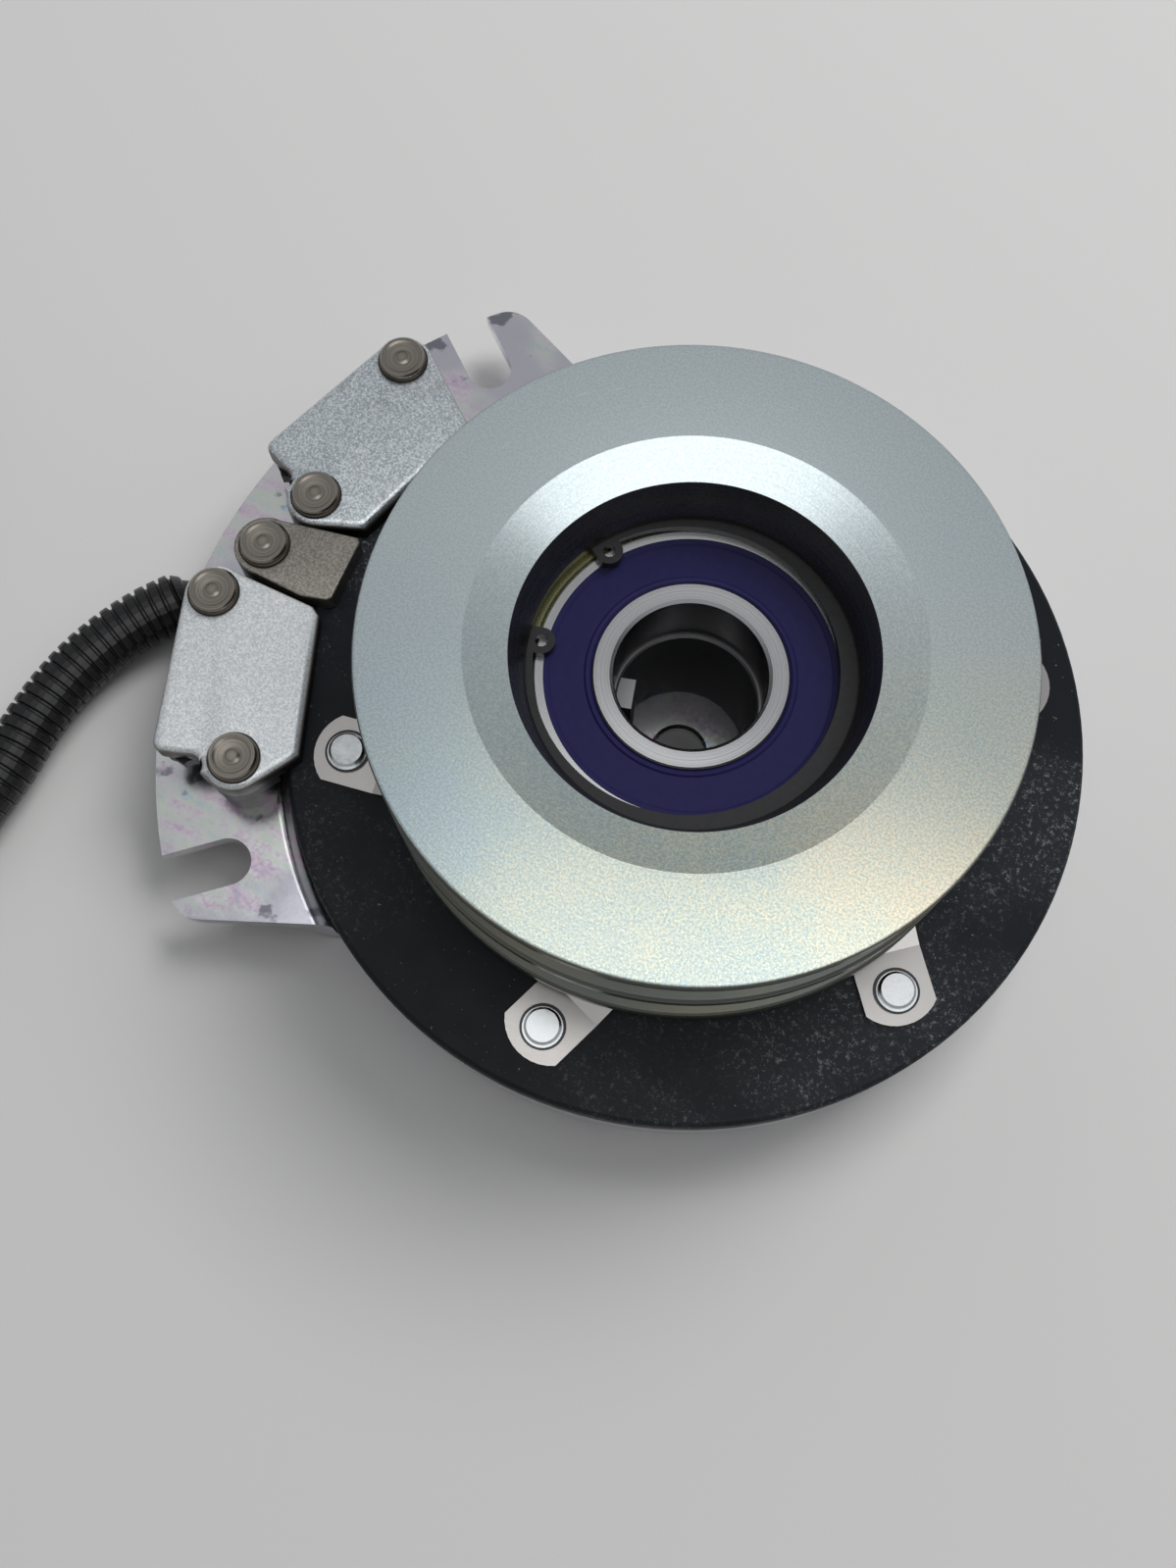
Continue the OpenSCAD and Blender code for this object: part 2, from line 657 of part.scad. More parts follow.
// Outline of a brake plate: a square-cornered pad with a lobe round each rivet, X pointing outwards
module brake_outline() {
    a = rivet_a;
    b = rivet_b;
    out = a[0] + lobe_r;
    inn = rim - 4.9;
    side = 16.9;
    difference() {
        union() {
            polygon([[inn, 1 - side], [inn + 1.5, -side - 1], a - polar(lobe_r, 60), a + [lobe_r, 0],
                [out, side - 2.5], [out - 2.5, side - 0.2], b + polar(lobe_r, 82), b + polar(lobe_r, 128),
                [inn + 1.6, side], [inn, side - 1.5]]);
            translate(a) circle(r = lobe_r);
            translate(b) circle(r = lobe_r);
            translate([out - 2.5, side - 2.7]) circle(r = 2.5, $fn = 32);
        }
        translate(a) circle(d = brake_shank_d + 2 * fit_c, $fn = 48);
        translate(b) circle(d = brake_shank_d + 2 * fit_c, $fn = 48);
        translate([b[0] + lobe_r + 2.6, side + 2.6]) circle(r = 2.6, $fn = 32);
    }
}

module brake_plate(m) {
    rotate([0, 0, m]) translate([0, 0, brake_low]) linear_extrude(brake_t) brake_outline();
}

module brake_plate_upper() {
    color("Silver") brake_plate(brake_upper_angle);
}

module brake_plate_lower() {
    color("Silver") brake_plate(brake_lower_angle);
}

// The black pole plates keep clear of the armature's rim
module brake_pole(m) {
    difference() {
        rotate([0, 0, m]) translate([0, 0, pole_low]) linear_extrude(pole_t) brake_outline();
        cylinder(r = arm_d / 2 + 1.5, h = 60, $fn = 180);
    }
}

module brake_pole_upper() {
    color("Black") brake_pole(brake_upper_angle);
}

module brake_pole_lower() {
    color("Black") brake_pole(brake_lower_angle);
}

module brake_magnet(m) {
    color("DarkSlateGray") rotate([0, 0, m]) translate([rim + 4.9, -11.2, ear_top])
        cube([17, 20.6, pole_low - ear_top]);
}

module brake_magnet_upper() {
    brake_magnet(brake_upper_angle);
}

module brake_magnet_lower() {
    brake_magnet(brake_lower_angle);
}

// Keeper plate: a teardrop round one rivet, with a square end over the armature
module keeper_outline() {
    c = keeper_rivet;
    difference() {
        union() {
            polygon([c - [4.2, 0], c + polar(lobe_r - 0.2, -92), [-rim - 1.4, -9.1], [4.2 - rim, -7.8],
                [5.2 - rim, -6.8], [4.8 - rim, 7], [3.9 - rim, 7.9], c + polar(lobe_r - 0.2, 98)]);
            translate(c) circle(r = lobe_r);
        }
        translate(c) circle(d = brake_shank_d + 2 * fit_c, $fn = 48);
    }
}

module keeper_plate() {
    color("Tan") translate([0, 0, brake_low]) linear_extrude(brake_t) keeper_outline();
}

module keeper_pole() {
    color("Black") difference() {
        translate([0, 0, pole_low]) linear_extrude(pole_t) keeper_outline();
        cylinder(r = arm_d / 2 + 1.5, h = 60, $fn = 180);
    }
}

module rivet_spacers() {
    color("Black") brake_rivet_places() tube(brake_shank_d / 2 + fit_c, lobe_r - 0.3, ear_top, pole_low);
}

// Turned head of a brake rivet: dark foot ring, shallow dish and a low bump in the middle
module brake_rivet_head() {
    foot = brake_head_d / 2 + 0.45;
    r = brake_head_d / 2;
    h = brake_head_h;
    rotate_extrude($fn = 48) polygon([[0, 0], [foot, 0], [foot, 0.5], [r, 0.5], [r, h - 0.4], [r - 0.4, h],
        [r - 1, h], [r - 1.5, h - 0.3], [1.7, h - 0.45], [1.1, h - 0.1], [0, h - 0.1]]);
}

module brake_rivets() {
    color("Gray") brake_rivet_places() {
        translate([0, 0, ear_low - 2]) cylinder(d = 9.4, h = 2);
        translate([0, 0, ear_low]) cylinder(d = brake_shank_d, h = brake_top - ear_low);
        translate([0, 0, brake_top]) brake_rivet_head();
    }
}

// Rubber grommet in the notches of shell and plate, with the two wires coming out of it
module lead_grommet() {
    color("Black") rotate([0, 0, lead_angle]) {
        translate([coil_r1 - 5.5, -4.6, 0.5]) cube([joggle_r + 0.6 - coil_r1 + 5.5, 9.2, shell_back - 0.5]);
        translate([joggle_r + 0.4, -5.6, 0.5]) cube([7, 11.2, ear_low - 1.7]);
    }
}

module lead_wires() {
    start = polar(joggle_r + 7.4, lead_angle);
    run = mouth_at - start;
    color("Black") translate([start[0], start[1], wire_z]) rotate([0, 0, atan2(run[1], run[0])])
        for (s = [-1, 1]) translate([0, s * wire_d * 0.65, 0]) rotate([0, 90, 0])
            cylinder(d = wire_d, h = norm(run), $fn = 24);
}

// Tube swept along a flat route, as one solid
function heading(p, i) =
    let (a = p[max(i - 1, 0)], b = p[min(i + 1, len(p) - 1)]) atan2(b[1] - a[1], b[0] - a[0]);

module swept_tube(p, d, z, sides = 12) {
    n = len(p);
    pts = [for (i = [0:n - 1]) let (h = heading(p, i)) for (k = [0:sides - 1])
        let (t = k * 360 / sides) [p[i][0] - sin(h) * cos(t) * d / 2, p[i][1] + cos(h) * cos(t) * d / 2,
            z + sin(t) * d / 2]];
    sidewalls = [for (i = [0:n - 2]) for (k = [0:sides - 1]) let (j = (k + 1) % sides)
        [i * sides + k, (i + 1) * sides + k, (i + 1) * sides + j, i * sides + j]];
    first = [[for (k = [0:sides - 1]) k]];
    last = [[for (k = [sides - 1:-1:0]) (n - 1) * sides + k]];
    polyhedron(pts, concat(first, sidewalls, last), convexity = 8);
}

module conduit() {
    color("Black") swept_tube(conduit_route, conduit_d, conduit_z);
}

// Cable tie round the two runs of conduit that lie side by side
module conduit_tie() {
    span = coil_r[0] - coil_r[1] + conduit_d + 0.4;
    mid = (coil_r[0] + coil_r[1]) / 2;
    color("DimGray") translate(coil_c) rotate([0, 0, coil_start]) translate([mid, 0, 0]) difference() {
        translate([-span / 2 - tie_t, -2.4, 0]) cube([span + 2 * tie_t, 4.8, conduit_d + 2 * tie_t]);
        translate([-span / 2, -3, tie_t]) cube([span, 6, conduit_d]);
    }
}

// Frame of the two-way plug: X runs out of the conduit's end
module connector_frame() {
    translate([tail_tip[0], tail_tip[1], conduit_z]) rotate([0, 0, tail_heading]) children();
}

module lead_connector() {
    s = connector_size;
    color("DarkSlateGray") connector_frame() difference() {
        union() {
            rotate([0, 90, 0]) cylinder(d = conduit_d - 1, h = 8);
            translate([6, -s[1] / 2, -s[2] / 2]) cube(s);
            translate([14, -3, s[2] / 2]) cube([16, 6, 1.6]);
        }
        translate([22, -s[1] / 2 + 1.6, -s[2] / 2 + 1.6]) cube([30, s[1] - 3.2, s[2] - 3.2]);
    }
}

module connector_pins() {
    color("Gold") connector_frame() for (y = [-3.2, 3.2])
        translate([22, y - 1.6, -0.4]) cube([12, 3.2, 0.8]);
}

mounting_plate();
field_shell();
coil_bobbin();
coil_winding();
coil_potting();
field_bearing_outer();
field_bearing_balls();
field_bearing_cage();
field_bearing_seals();
field_bearing_inner();
rotor_disc();
rotor_hub();
hub_washer();
hub_snap_ring();
pulley_bearing_inner();
pulley();
pulley_bearing_outer();
pulley_bearing_balls();
pulley_bearing_cage();
pulley_bearing_seals();
retaining_ring();
leaf_springs();
pulley_rivets();
armature_plate();
armature_rivets();
brake_plate_upper();
brake_plate_lower();
keeper_plate();
brake_pole_upper();
brake_pole_lower();
keeper_pole();
brake_magnet_upper();
brake_magnet_lower();
rivet_spacers();
brake_rivets();
lead_grommet();
lead_wires();
conduit();
conduit_tie();
lead_connector();
connector_pins();
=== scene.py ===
"""Power take-off clutch: looks, conduit, softened edges, floor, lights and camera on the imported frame."""

import math

import bmesh
import bpy
from mathutils import Matrix, Vector


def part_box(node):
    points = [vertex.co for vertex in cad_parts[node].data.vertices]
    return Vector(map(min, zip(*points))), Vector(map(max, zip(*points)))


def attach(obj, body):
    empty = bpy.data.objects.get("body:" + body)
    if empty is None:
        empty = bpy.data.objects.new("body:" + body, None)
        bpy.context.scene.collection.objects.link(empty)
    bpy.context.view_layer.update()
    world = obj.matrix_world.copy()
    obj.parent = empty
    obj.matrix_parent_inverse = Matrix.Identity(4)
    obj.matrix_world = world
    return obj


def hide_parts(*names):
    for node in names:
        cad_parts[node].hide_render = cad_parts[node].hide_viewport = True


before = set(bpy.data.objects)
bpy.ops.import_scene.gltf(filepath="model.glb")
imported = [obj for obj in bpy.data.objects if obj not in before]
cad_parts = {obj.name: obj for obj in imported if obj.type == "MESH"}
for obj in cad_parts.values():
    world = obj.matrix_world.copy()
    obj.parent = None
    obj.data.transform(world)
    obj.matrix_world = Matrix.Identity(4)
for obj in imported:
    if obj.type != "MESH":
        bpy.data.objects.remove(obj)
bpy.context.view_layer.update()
scene = bpy.context.scene

MM = 0.001

# Pulley, in metres: where its look changes, at its rim (below which the flanks carry painted shade), its
# bore's wall and the ledge in its bore
PULLEY_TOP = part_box("pulley")[1][2]
RIM_TOP = PULLEY_TOP - 0.2 * MM
RIM_R = 0.0455
BORE_WALL_R = 0.03486
BORE_WALL_FOOT = 0.0533
LEDGE_R = 0.0331
LEDGE_TOP = 0.0534

# Pulley's cone, in metres: its foot and height, its edge in the CAD and its edge in the photograph
CONE_FOOT_R = 0.0348
CONE_HEIGHT = 0.0029
CONE_CAD_R = 0.0411
CONE_EDGE_R = 0.0432

# Other places where a look changes, in metres
RING_BORE_R = 0.01515
HUB_BORE_R = 0.0147
HUB_BORE_TOP = 0.0344
EAR_FACE_FOOT = 0.0115
PLATE_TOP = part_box("brake_plate_lower")[1][2]
SIDE_BLACK = PLATE_TOP - 0.0021
SIDE_BROWN = PLATE_TOP - 0.0012
SIDE_ZINC = PLATE_TOP - 0.0005
# Rivet heads, and the rings of painted shade round them
BRAKE_HEAD_R = 0.0051
BRAKE_FOOT_SHADE_R = 0.00535
SPRING_HEAD_R = 0.00405
SPRING_COLLAR_SHADE_R = 0.00415


def polar(r, a):
    return r * math.cos(math.radians(a)), r * math.sin(math.radians(a))


# Rivets: each brake plate's direction in degrees, then places as a radius in millimetres and an angle
BRAKE_TURNS = (161.3, 199.6)
OUTER_RIVET = (103.1, -10.6)
INNER_RIVET = (93.3, 10.7)
KEEPER_RIVET = (97.2, 181.1)
BRAKE_RIVETS = [polar(r, turn + a) for turn in BRAKE_TURNS for r, a in (OUTER_RIVET, INNER_RIVET)]
BRAKE_RIVETS.append(polar(*KEEPER_RIVET))
SPRING_RIVET_R = 70.6
SPRING_FIRST = 30
SPRING_COUNT = 6
SPRING_RIVETS = [polar(SPRING_RIVET_R, SPRING_FIRST + 360 * i / SPRING_COUNT) for i in range(SPRING_COUNT)]

# Camera, solved from the rings in the photograph; its sensor is in millimetres
PHOTO_HEIGHT_PX = 1599
PHOTO_FOCAL_PX = 1571.8
SENSOR = 36.0
CLIP_START = 0.01
CLIP_END = 20
CAMERA_AT = Vector((26.9, -104.7, 329.93)) * MM
CAMERA_LOOK = Vector((-0.1234, 0.2619, -0.9572)).normalized()
CAMERA_UP = Vector((-0.3922, 0.8731, 0.2895))


def make_camera():
    data = bpy.data.cameras.new("photo_camera")
    data.sensor_fit = "VERTICAL"
    data.sensor_height = SENSOR
    data.lens = SENSOR * PHOTO_FOCAL_PX / PHOTO_HEIGHT_PX
    data.clip_start = CLIP_START
    data.clip_end = CLIP_END
    camera = bpy.data.objects.new("photo_camera", data)
    scene.collection.objects.link(camera)
    back = -CAMERA_LOOK
    right = CAMERA_UP.cross(back).normalized()
    up = back.cross(right)
    turn = Matrix((right, up, back)).transposed().to_4x4()
    camera.matrix_world = Matrix.Translation(CAMERA_AT) @ turn
    scene.camera = camera


make_camera()


# Short ways to build materials from nodes
def feed(tree, socket, value):
    """Links another node's output to the socket, or sets the socket's own value."""
    if isinstance(value, bpy.types.NodeSocket):
        tree.links.new(value, socket)
    else:
        socket.default_value = value


def add_math(tree, operation, *values):
    item = tree.nodes.new("ShaderNodeMath")
    item.operation = operation
    for socket, value in zip(item.inputs, values):
        feed(tree, socket, value)
    return item.outputs[0]


def opaque(color):
    """A colour with its fourth number; a socket stays as it is."""
    return (*color, 1.0) if isinstance(color, tuple) else color


class Shader:
    """One Principled material, with short ways to add textures in the frame's own metres."""

    def __init__(self, name, color, metallic=0.0, roughness=0.5, **sockets):
        self.material = bpy.data.materials.new(name)
        self.material.use_nodes = True
        self.tree = self.material.node_tree
        self.surface = self.tree.nodes["Principled BSDF"]
        self.use("Base Color", opaque(color))
        self.use("Metallic", metallic)
        self.use("Roughness", roughness)
        for key, value in sockets.items():
            self.use(key.replace("_", " "), value)
        self.material.diffuse_color = opaque(color)
        self.place = self.tree.nodes.new("ShaderNodeTexCoord").outputs["Object"]

    def use(self, socket, value):
        """Gives a value or another node's output to one socket of the surface."""
        feed(self.tree, self.surface.inputs[socket], value)

    def node(self, kind, **inputs):
        item = self.tree.nodes.new(kind)
        for key, value in inputs.items():
            feed(self.tree, item.inputs[key.replace("_", " ")], value)
        return item

    def math(self, operation, *values):
        return add_math(self.tree, operation, *values)

    def times(self, a, b):
        return self.math("MULTIPLY", a, b)

    def plus(self, a, b):
        return self.math("ADD", a, b)

    def line(self, value, slope, start):
        """The value times the slope, plus the start."""
        return self.math("MULTIPLY_ADD", value, slope, start)

    def below(self, value, limit):
        """1 where the value is under the limit, else 0."""
        return self.math("LESS_THAN", value, limit)

    def above(self, value, limit):
        """1 where the value is over the limit, else 0."""
        return self.math("GREATER_THAN", value, limit)

    def axis(self, name):
        return self.node("ShaderNodeSeparateXYZ", Vector=self.place).outputs[name]

    def toward(self, x, y):
        """How far a point lies in the direction (x, y)."""
        return self.plus(self.times(self.axis("X"), x), self.times(self.axis("Y"), y))

    def radius(self, centre=(0.0, 0.0)):
        """Distance from the upright axis through the centre."""
        x = self.math("SUBTRACT", self.axis("X"), centre[0])
        y = self.math("SUBTRACT", self.axis("Y"), centre[1])
        return self.math("SQRT", self.plus(self.times(x, x), self.times(y, y)))

    def nearest(self, centres):
        """Distance to the nearest of some upright axes, given in millimetres."""
        near = None
        for x, y in centres:
            r = self.radius((x * MM, y * MM))
            near = r if near is None else self.math("MINIMUM", near, r)
        return near

    def ramp(self, value, low, high):
        """0 at low, 1 at high, smooth between."""
        item = self.node("ShaderNodeMapRange")
        item.interpolation_type = "SMOOTHSTEP"
        feed(self.tree, item.inputs["Value"], value)
        item.inputs["From Min"].default_value = low
        item.inputs["From Max"].default_value = high
        return item.outputs[0]

    def noise(self, scale, detail=2.0, vector=None, rough=0.5):
        vector = self.place if vector is None else vector
        item = self.node("ShaderNodeTexNoise", Vector=vector, Scale=scale, Detail=detail, Roughness=rough)
        return item.outputs["Fac"]

    def stretched(self, *scale):
        """The place with each axis scaled, for streaks."""
        return self.node("ShaderNodeMapping", Vector=self.place, Scale=scale).outputs[0]

    def line_noise(self, value, scale, detail):
        """Noise that changes along one value only, such as the radius."""
        item = self.node("ShaderNodeTexNoise")
        item.noise_dimensions = "1D"
        feed(self.tree, item.inputs["W"], value)
        item.inputs["Scale"].default_value = scale
        item.inputs["Detail"].default_value = detail
        return item.outputs["Fac"]

    def mix(self, factor, a, b):
        """Colour a where the factor is 0, b where it is 1."""
        item = self.node("ShaderNodeMix")
        item.data_type = "RGBA"
        for key, value in (("Factor", factor), ("A", opaque(a)), ("B", opaque(b))):
            feed(self.tree, item.inputs[key], value)
        return item.outputs["Result"]

    def colors(self, value, *stops):
        """A row of colours, each with its position."""
        item = self.node("ShaderNodeValToRGB", Fac=value)
        ramp = item.color_ramp
        while len(ramp.elements) < len(stops):
            ramp.elements.new(0.5)
        for element, (position, color) in zip(ramp.elements, stops):
            element.position = position
            element.color = opaque(color)
        return item.outputs["Color"]

    def rough(self, value, low, high):
        """Roughness between low and high as the value goes from 0 to 1."""
        self.use("Roughness", self.line(value, high - low, low))

    def bump(self, height, distance, strength):
        item = self.node("ShaderNodeBump", Height=height, Distance=distance, Strength=strength)
        self.use("Normal", item.outputs[0])

    def turned(self):
        """Highlights of a face that was turned about Z."""
        item = self.node("ShaderNodeTangent")
        item.direction_type = "RADIAL"
        item.axis = "Z"
        self.use("Tangent", item.outputs[0])


def paler(color, factor, lift=0.0):
    return tuple(min(1.0, c * factor + lift) for c in color)


# Materials
PLATE_DARK = (0.42, 0.47, 0.50)
PLATE_BRIGHT = (0.92, 0.96, 0.98)
# The lower brake plate's zinc, painted paler than the plate zinc above: painted light
LIT_BRAKE_DARK = (0.60, 0.65, 0.68)
LIT_BRAKE_BRIGHT = (1.0, 1.0, 1.0)
SINTER_DARK = (0.24, 0.218, 0.19)
SINTER_BRIGHT = (0.42, 0.395, 0.36)
SPRING_DARK = (0.43, 0.415, 0.40)
SPRING_BRIGHT = (0.52, 0.50, 0.485)
RIVET_STEEL = (0.235, 0.212, 0.186)
ARMATURE_BLACK = (0.0065, 0.0085, 0.012)

# Directions across the pulley's face, as the photograph shows it
TO_RIGHT = (0.91, 0.41)
TO_VIEWER = (0.30, -0.95)


def plated_tint(look, sparkle, cloud, grain):
    """Gold, green and blue of the chromate, which drift over the face; toward the right they run to a
    brighter gold, partly chromate colour and partly painted highlight, and toward the left they are greyed,
    a painted shade.
    """
    right = look.toward(*TO_RIGHT)
    hue = look.plus(look.times(sparkle, 0.68), look.times(cloud, 0.32))
    # Toward the right the hue runs to a brighter gold: partly chromate colour, partly painted highlight.
    tint = look.colors(look.line(right, -1.3, hue),
                       (0.38, (0.96, 0.84, 0.64)), (0.44, (0.90, 0.88, 0.68)), (0.50, (0.76, 0.82, 0.72)),
                       (0.56, (0.58, 0.72, 0.72)), (0.62, (0.66, 0.76, 0.84)))
    tint = look.mix(grain, look.mix(0.38, tint, (0.22, 0.27, 0.28)), tint)
    # Toward the left the tint is mixed with grey and darkened: painted shade.
    return look.mix(look.ramp(right, -0.045, 0.035), look.mix(0.30, tint, (0.36, 0.42, 0.42)), tint)


def turning_scratches(look, r):
    """Short scratches along the turning direction."""
    turn = look.math("ARCTAN2", look.axis("Y"), look.axis("X"))
    along = look.node("ShaderNodeCombineXYZ", X=look.times(r, 2600.0), Y=look.times(turn, 9.0))
    return look.ramp(look.noise(1.0, 2.0, vector=along.outputs[0]), 0.66, 0.80)


def plated_pulley():
    """Turned and chromated: grey zinc on the far half, a brighter coloured sparkle on the near half that is
    partly chromate colour and partly painted highlight, flanks darkened by painted shade, a dark bore.
    """
    look = Shader("plated_pulley", (0.55, 0.57, 0.58), 1.0, 0.34, Anisotropic=0.55,
                  Anisotropic_Rotation=0.25)
    r, z = look.radius(), look.axis("Z")
    sparkle = look.noise(2400.0, 4.0, rough=0.7)
    cloud = look.noise(38.0, 3.0)
    grain = look.ramp(look.noise(2200.0, 3.0, rough=0.6), 0.40, 0.60)
    # The near half gets the brighter chromate tint: real chromate colour, and a painted highlight where the
    # face is brighter.
    near = look.ramp(look.plus(look.toward(*TO_VIEWER), look.times(cloud, 0.03)), -0.012, 0.062)

    zinc = look.mix(grain, (0.58, 0.655, 0.675), (0.68, 0.755, 0.775))
    face = look.mix(near, zinc, plated_tint(look, sparkle, cloud, grain))
    face = look.mix(look.times(turning_scratches(look, r), 0.5), face, (0.90, 0.93, 0.92))
    # Below the rim the flanks are painted darker than the face's zinc: painted shade.
    flank_shade = look.times(look.above(r, RIM_R), look.below(z, RIM_TOP))
    brown = look.mix(cloud, (0.17, 0.155, 0.11), (0.07, 0.09, 0.10))
    face = look.mix(flank_shade, face, look.mix(near, (0.16, 0.175, 0.185), brown))
    ledge = look.times(look.below(r, LEDGE_R), look.below(z, LEDGE_TOP))
    wall = look.times(look.below(r, BORE_WALL_R), look.above(z, BORE_WALL_FOOT))
    dark = look.mix(look.noise(60.0, 2.0), (0.060, 0.062, 0.066), (0.160, 0.158, 0.160))
    look.use("Base Color", look.mix(wall, look.mix(ledge, face, (0.30, 0.29, 0.16)), dark))

    rings = look.line_noise(r, 2400.0, 3.0)
    relief = look.plus(rings, sparkle)
    look.use("Roughness", look.line(look.below(r, CONE_EDGE_R), -0.05, look.line(relief, 0.11, 0.22)))
    look.bump(relief, 0.000018, 0.6)
    look.turned()
    return look.material


def dark_sides(look, color):
    """The colour down to a brake plate's rounded edge, then brown, then black."""
    z = look.axis("Z")
    edge = look.mix(look.ramp(z, SIDE_BLACK, SIDE_BROWN), (0.012, 0.011, 0.010), (0.22, 0.20, 0.17))
    return look.mix(look.ramp(z, SIDE_BROWN, SIDE_ZINC), edge, color)


def grained(look, scale, dark, bright, relief):
    """Colour and relief of a fine grain whose facets catch the light."""
    grain = look.noise(scale, 4.0, rough=0.65)
    look.bump(grain, 0.00003, relief)
    return look.mix(look.ramp(grain, 0.36, 0.68), dark, bright)


def zinc_plate():
    look = Shader("zinc_plate", PLATE_DARK, 1.0, 0.35)
    look.use("Base Color", grained(look, 2100.0, PLATE_DARK, PLATE_BRIGHT, 0.9))
    look.rough(look.noise(1260.0), 0.2, 0.46)
    return look.material


def zinc_brake():
    """Zinc plate with dark sides, paler and less metallic than the upper plate's zinc: the same zinc painted
    lighter, painted light.
    """
    look = Shader("zinc_brake", LIT_BRAKE_DARK, 0.4, 0.35)
    look.use("Base Color", dark_sides(look, grained(look, 2100.0, LIT_BRAKE_DARK, LIT_BRAKE_BRIGHT, 0.9)))
    look.rough(look.noise(1260.0), 0.2, 0.46)
    return look.material


def stained_zinc():
    """Zinc plate with dark sides and faint brown water marks in short bands."""
    look = Shader("stained_zinc", PLATE_DARK, 0.85, 0.35)
    zinc = grained(look, 2100.0, PLATE_DARK, PLATE_BRIGHT, 0.9)
    band = look.ramp(look.noise(1.0, 4.0, vector=look.stretched(300.0, 110.0, 300.0), rough=0.7), 0.50, 0.66)
    region = look.ramp(look.noise(60.0), 0.42, 0.60)
    stain = look.times(look.times(band, region), 0.55)
    look.use("Base Color", dark_sides(look, look.mix(stain, zinc, (0.30, 0.26, 0.21))))
    look.rough(look.noise(1000.0), 0.2, 0.46)
    return look.material


def sintered_steel():
    look = Shader("sintered_steel", SINTER_DARK, 1.0, 0.35)
    look.use("Base Color", grained(look, 1900.0, SINTER_DARK, SINTER_BRIGHT, 0.5))
    look.rough(look.noise(1140.0), 0.3, 0.55)
    return look.material


def spring_steel():
    """Rolled steel with a faint cloud and short fine scratches."""
    look = Shader("spring_steel", SPRING_DARK, 1.0, 0.3)
    cloud = look.noise(120.0, 3.0)
    scratch = look.noise(1.0, 2.0, vector=look.stretched(420.0, 3800.0, 900.0))
    blend = look.plus(look.times(cloud, 0.7), look.times(scratch, 0.3))
    look.use("Base Color", look.mix(blend, SPRING_DARK, SPRING_BRIGHT))
    look.rough(scratch, 0.24, 0.38)
    look.bump(scratch, 0.00001, 0.2)
    return look.material


def rainbow_zinc(name):
    """Bright chromated zinc: streaks of pale pink, green and blue, and a few painted dark reflections on the
    ear's face.
    """
    look = Shader(name, (0.62, 0.62, 0.66), 1.0, 0.24)
    streak = look.noise(1.0, 3.0, vector=look.stretched(90.0, 260.0, 150.0))
    fine = look.noise(1100.0, 4.0, rough=0.7)
    cloud = look.noise(55.0)
    hue = look.plus(look.times(streak, 0.62), look.times(fine, 0.38))
    rainbow = look.colors(hue, (0.36, (0.72, 0.61, 0.80)), (0.44, (0.86, 0.71, 0.81)),
                          (0.50, (0.82, 0.82, 0.85)), (0.56, (0.80, 0.84, 0.74)), (0.64, (0.64, 0.76, 0.88)))
    plated = look.mix(look.ramp(cloud, 0.40, 0.62), rainbow, (0.66, 0.65, 0.72))
    # Dark patches on the ear's face stand for reflections of the dark parts beside it: painted reflection.
    dark_reflection = look.plus(look.noise(160.0, 4.0), look.times(look.noise(45.0, 1.0), 0.6))
    dark_reflection = look.times(look.ramp(dark_reflection, 0.90, 0.97), look.above(look.axis("Z"), EAR_FACE_FOOT))
    look.use("Base Color", look.mix(look.times(dark_reflection, 0.7), plated, (0.12, 0.12, 0.15)))
    look.rough(fine, 0.10, 0.28)
    look.bump(look.plus(look.times(cloud, 8.0), look.times(fine, 0.3)), 0.00003, 0.6)
    return look.material


def ground_steel():
    """Bearing rings and balls: fine ground rings, and a dark bore."""
    look = Shader("ground_steel", (0.58, 0.58, 0.59), 1.0, 0.22, Anisotropic=0.5, Anisotropic_Rotation=0.25)
    r = look.radius()
    rings = look.line_noise(r, 3000.0, 2.0)
    steel = look.mix(rings, (0.50, 0.50, 0.51), (0.62, 0.62, 0.63))
    look.use("Base Color", look.mix(look.below(r, RING_BORE_R), steel, (0.014, 0.017, 0.018)))
    look.rough(rings, 0.14, 0.32)
    look.turned()
    return look.material


def hub_steel():
    """Plain steel, with its bore below the chamfer near-black and not metallic."""
    look = Shader("hub_steel", (0.30, 0.30, 0.31), 1.0, 0.36, Specular_IOR_Level=0.15)
    bore = look.times(look.below(look.radius(), HUB_BORE_R), look.below(look.axis("Z"), HUB_BORE_TOP))
    cloud = look.noise(400.0, 3.0)
    dark = look.mix(cloud, (0.030, 0.034, 0.036), (0.056, 0.061, 0.063))
    look.use("Base Color", look.mix(bore, (0.34, 0.34, 0.35), dark))
    look.use("Metallic", look.math("SUBTRACT", 1.0, bore))
    look.use("Roughness", look.line(cloud, 0.16, look.line(bore, 0.25, 0.28)))
    return look.material


def black_armature():
    """Black coating, dusty and scuffed in patches."""
    look = Shader("black_armature", ARMATURE_BLACK, 0.0, 0.46, Specular_IOR_Level=0.2)
    patch = look.ramp(look.noise(24.0, 3.0), 0.48, 0.66)
    dust = look.ramp(look.noise(900.0, 8.0, rough=0.8), 0.53, 0.66)
    speck = look.ramp(look.noise(2300.0), 0.68, 0.76)
    scuff = look.math("MAXIMUM", look.times(look.times(dust, patch), 0.8), look.times(speck, patch))
    lone = look.ramp(look.noise(1500.0), 0.735, 0.77)
    haze = look.mix(look.times(patch, 0.6), ARMATURE_BLACK, (0.024, 0.028, 0.033))
    look.use("Base Color", look.mix(look.math("MAXIMUM", scuff, lone), haze, (0.30, 0.30, 0.30)))
    look.rough(look.noise(160.0, 4.0), 0.38, 0.60)
    look.bump(look.noise(1400.0, 3.0), 0.00002, 0.3)
    return look.material


